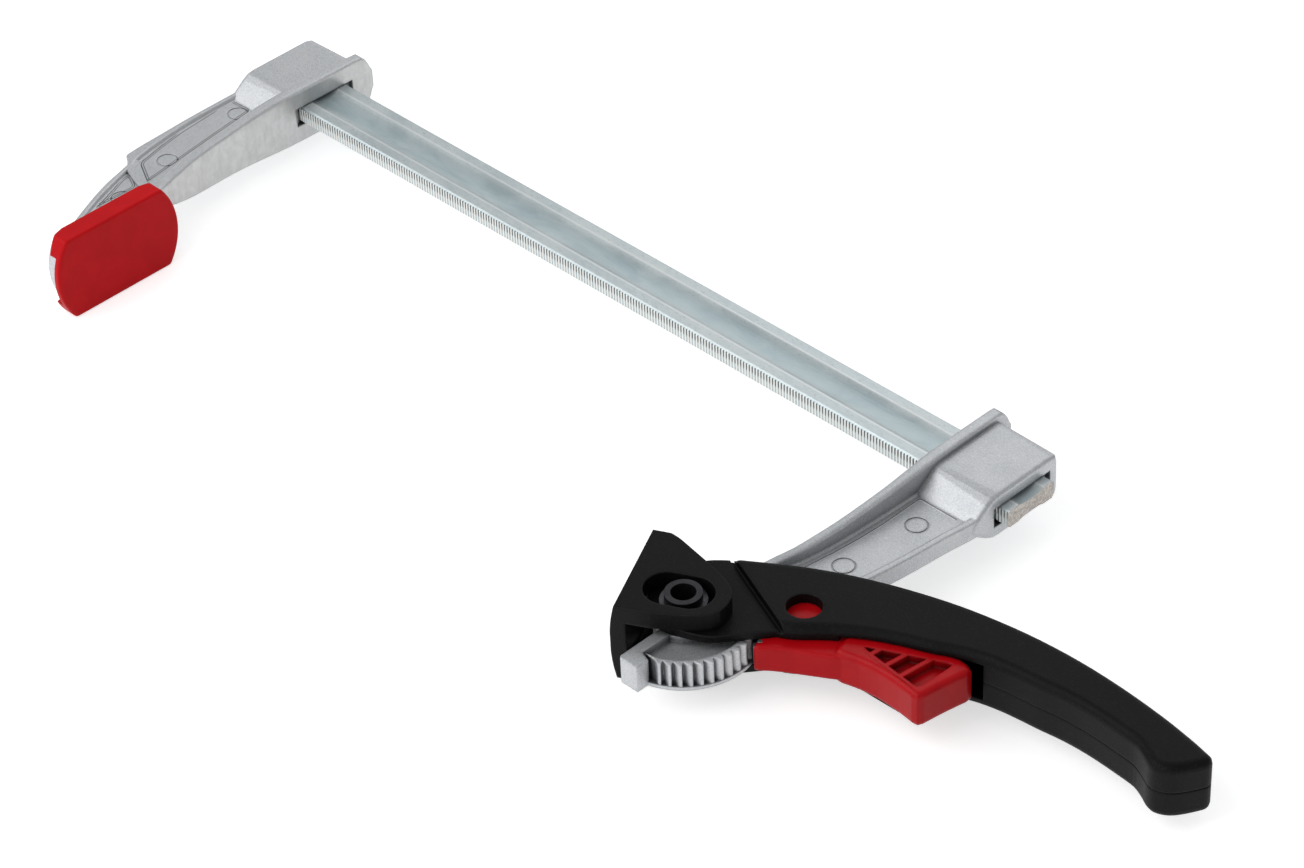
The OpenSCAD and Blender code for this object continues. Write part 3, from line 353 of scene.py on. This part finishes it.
def black_plastic():
    """Black glass-filled plastic with a fine spark-eroded grain, shinier where hands rub its edges, with a painted
    sheen of lighter grey along them.
    """
    m = Tree("black_grained_plastic")
    grain, near = m.cells(0.00045)
    fine = m.noise(0.0005, 4, 0.65)
    cloud = m.noise(0.018, 3, 0.5)
    colour = m.mix(m.span(fine, 0.3, 0.75), srgb(6, 6, 7), srgb(13, 13, 14))
    colour = m.mix(m.span(cloud, 0.4, 0.7, 0.0, 0.35), colour, srgb(16, 16, 17))
    colour = m.mix(m.span(grain, 0.9, 0.98, 0.0, 0.25), colour, srgb(38, 38, 41))
    # Hands rub the edges smoother, and a lighter grey along them is a painted sheen
    rub_and_sheen = m.math("MULTIPLY", m.edge(0.0007, 0.02, 0.2), m.span(cloud, 0.25, 0.6, 0.35, 0.8))
    colour = m.mix(rub_and_sheen, colour, srgb(46, 46, 49))
    rough = m.math("SUBTRACT", m.span(fine, 0.2, 0.8, 0.44, 0.56), m.math("MULTIPLY", rub_and_sheen, 0.12))
    height = m.math("ADD", m.math("MULTIPLY", near, 0.6), m.math("MULTIPLY", fine, 0.5))
    normal = m.relief(height, 0.00006, m.rounded(0.0009))
    return m.shader(colour, rough, normal, specular=0.13)


def dress(names, mat):
    """Gives these nodes a material, and soft shading across their curved faces."""
    for name in names:
        data = nodes[name].data
        if not data.materials:
            data.materials.append(mat)
        for i in range(len(data.materials)):
            data.materials[i] = mat
        data.shade_smooth()
        data.set_sharp_from_angle(angle=math.radians(CRISP))


def bead(name, points, half, high, body, mat, closed=True):
    """A low cast line along points (mm), of that half width and height, on both faces of a web."""
    verts, faces = [], []
    n = len(points)
    for side in (1, -1):
        start = len(verts)
        for i, (x, y) in enumerate(points):
            a = points[(i - 1) % n] if closed or i else points[0]
            b = points[(i + 1) % n] if closed or i < n - 1 else points[-1]
            d = Vector((b[0] - a[0], b[1] - a[1])).normalized()
            nx, ny = -d.y, d.x
            for off, up in ((-half, -SUNK), (-half * 0.55, high), (half * 0.55, high), (half, -SUNK)):
                verts.append(((x + nx * off) / 1000, (y + ny * off) / 1000, side * (WEB + up) / 1000))
        count = n if closed else n - 1
        for i in range(count):
            k = (i + 1) % n
            for j in range(4):
                here, there, after = start + 4 * i, start + 4 * k, (j + 1) % 4
                q = [here + j, there + j, there + after, here + after]
                faces.append(q if side > 0 else q[::-1])
        if not closed:
            first = [start, start + 1, start + 2, start + 3]
            last = [start + 4 * (n - 1) + j for j in range(4)]
            faces += [first, last[::-1]] if side > 0 else [first[::-1], last]
    mesh = bpy.data.meshes.new(name)
    mesh.from_pydata(verts, [], faces)
    mesh.validate()
    mesh.update()
    mesh.materials.append(mat)
    mesh.shade_smooth()
    mesh.set_sharp_from_angle(angle=math.radians(CRISP_LINE))
    obj = bpy.data.objects.new(name, mesh)
    bpy.context.scene.collection.objects.link(obj)
    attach(obj, body)


def rounded_path(points, r, closed=True):
    """The outline with its corners rounded, r before and after each corner."""
    out = []
    n = len(points)
    for i, b in enumerate(points):
        if not closed and i in (0, n - 1):
            out.append(b)
            continue
        a, c = points[(i - 1) % n], points[(i + 1) % n]
        la, lc = math.dist(a, b), math.dist(b, c)
        k, q = min(r, 0.45 * la) / la, min(r, 0.45 * lc) / lc
        u = (b[0] + (a[0] - b[0]) * k, b[1] + (a[1] - b[1]) * k)
        v = (b[0] + (c[0] - b[0]) * q, b[1] + (c[1] - b[1]) * q)
        for t in (0, 0.25, 0.5, 0.75, 1):
            out.append(tuple((1 - t) ** 2 * u[j] + 2 * t * (1 - t) * b[j] + t * t * v[j] for j in (0, 1)))
    return out


def inset(points, g):
    """A closed outline moved inwards by g."""
    n = len(points)
    area = sum(points[i][0] * points[(i + 1) % n][1] - points[(i + 1) % n][0] * points[i][1] for i in range(n))
    s = 1 if area > 0 else -1
    out = []
    for i, p in enumerate(points):
        a, b = points[i - 1], points[(i + 1) % n]
        d = Vector((b[0] - a[0], b[1] - a[1])).normalized()
        out.append((p[0] - s * d.y * g, p[1] + s * d.x * g))
    return out


def studio():
    """A pale floor, an even world and three soft lamps."""
    scene = bpy.context.scene
    scene.view_settings.view_transform = "Standard"
    low = cad_box[0][2]

    m = Tree("studio_floor")
    cloud = m.noise(0.3, 2, 0.5)
    lit = m.add("ShaderNodeBsdfDiffuse")
    m.put(lit.inputs["Color"], m.mix(m.span(cloud, 0.3, 0.7), (0.80, 0.80, 0.80), (0.84, 0.84, 0.84)))
    glow = m.add("ShaderNodeEmission")
    glow.inputs["Color"].default_value = (1, 1, 1, 1)
    path = m.add("ShaderNodeLightPath")
    seen = m.math("MAXIMUM", path.outputs["Is Camera Ray"],
                  m.math("MAXIMUM", path.outputs["Is Glossy Ray"], path.outputs["Is Transmission Ray"]))
    m.put(glow.inputs["Strength"], m.math("MULTIPLY", seen, FLOOR_GLOW))
    both = m.add("ShaderNodeAddShader")
    m.t.links.new(lit.outputs[0], both.inputs[0])
    m.t.links.new(glow.outputs[0], both.inputs[1])
    m.t.links.new(both.outputs[0], m.out.inputs["Surface"])
    s = FLOOR_HALF
    mesh = bpy.data.meshes.new("floor")
    mesh.from_pydata([(-s, -s, low), (s, -s, low), (s, s, low), (-s, s, low)], [], [(0, 1, 2, 3)])
    mesh.materials.append(m.mat)
    floor = bpy.data.objects.new("floor", mesh)
    scene.collection.objects.link(floor)

    world = bpy.data.worlds.new("studio")
    scene.world = world
    world.use_nodes = True
    t = world.node_tree
    t.nodes.clear()
    out = t.nodes.new("ShaderNodeOutputWorld")
    bg = t.nodes.new("ShaderNodeBackground")
    bg.inputs["Color"].default_value = (0.98, 0.99, 1.0, 1)
    bg.inputs["Strength"].default_value = WORLD_LIGHT
    t.links.new(bg.outputs[0], out.inputs["Surface"])

    middle = Vector(LIT_POINT)
    for name, direction, distance, size, power in LAMPS:
        d = Vector(direction).normalized()
        lamp = bpy.data.lights.new(name, "AREA")
        lamp.shape = "RECTANGLE"
        lamp.size, lamp.size_y = size
        lamp.energy = power
        obj = bpy.data.objects.new(name, lamp)
        obj.location = middle + d * distance
        obj.rotation_euler = d.to_track_quat("Z", "Y").to_euler()
        scene.collection.objects.link(obj)


set_camera()
studio()

dress(["fixed_arm"],
      silver_casting("silver_casting_fixed", (192, 195, 198), (217, 219, 221), 0.15, ground_face=True))
# The sliding arm has the fixed arm's silver coat, in a darker copy that is painted shade, with stronger painted
# shade in its corners
dress(["sliding_arm"],
      silver_casting("silver_casting_sliding_shaded", (180, 183, 186), (206, 208, 211), 0.6))
dress(["rail"], zinc_plate())
dress(["pad_cap"], red_plastic("red_cap_plastic", gloss=0.0, deep=0))
# The trigger's red is the cap's, darkened by deep as painted shade
dress(["trigger"], red_plastic("red_trigger_plastic", gloss=1.0, deep=18))
dress(["lever_shell_upper", "lever_shell_lower", "jaw"], black_plastic())
dress(["pivot_rivet"], bare_steel("blackened_steel", srgb(58, 58, 61)))
dress(["slide_bush_upper", "slide_bush_lower"], bare_steel("oiled_steel", srgb(74, 74, 78)))
dress(["rail_stop_pin", "rail_lock_pin", "grip_pin_inner", "grip_pin_outer", "thrust_washers",
       "lever_screws", "pawl", "pawl_pin"], bare_steel("plain_steel", srgb(176, 177, 178)))
dress(["trigger_spring"], bare_steel("spring_wire", srgb(188, 188, 186), stretch=(1, 1, 0.2)))

# Cast outlines of the fixed arm's two web panels, on both faces of the web: a line coloured as a painted
# highlight, a painted-shade line close inside it, and another painted-shade line further in
panels = {
    "fixed_panel_upper": [(-33, 35), (-35.5, 45.9), (-37.4, 56), (-38.1, 65.2), (-38.9, 74.4),
                          (-39.4, 79.6), (-29.1, 80.1), (-26.6, 62), (-24.3, 45), (-22.1, 29.4)],
    "fixed_panel_lower": [(-23.4, 8.5), (-27.1, 18.1), (-30, 24.6), (-30.7, 28.5), (-28.2, 28.5),
                          (-22.7, 25.8)],
}
# Panel-line colours: bright is a painted highlight, shade a painted shade
bright = bare_steel("panel_line_painted_highlight", srgb(226, 227, 228))
shade = bare_steel("panel_line_painted_shade", srgb(104, 105, 109))
for name, points in panels.items():
    path = rounded_path(points, 2.2)
    bead(name, path, 0.17, 0.10, "frame", bright)
    bead(name + "_line", inset(path, 0.42), 0.17, 0.06, "frame", shade)
    bead(name + "_inner", inset(path, 1.15), 0.13, 0.06, "frame", shade)

# The sliding arm's panel shows one side and one end: a painted-shade line with a painted-highlight line beside it
corner = rounded_path([(266.2, 27), (267.7, 34.4), (269.4, 45), (270.4, 54.4), (271, 64.2), (271, 72),
                       (271, 79.3), (285.2, 79.3)], 0.8, closed=False)
beside = [(x + 0.25, y - 0.45) for x, y in corner]
bead("slide_panel", corner, 0.17, 0.06, "slider", shade, closed=False)
bead("slide_panel_line", beside, 0.15, 0.08, "slider", bright, closed=False)
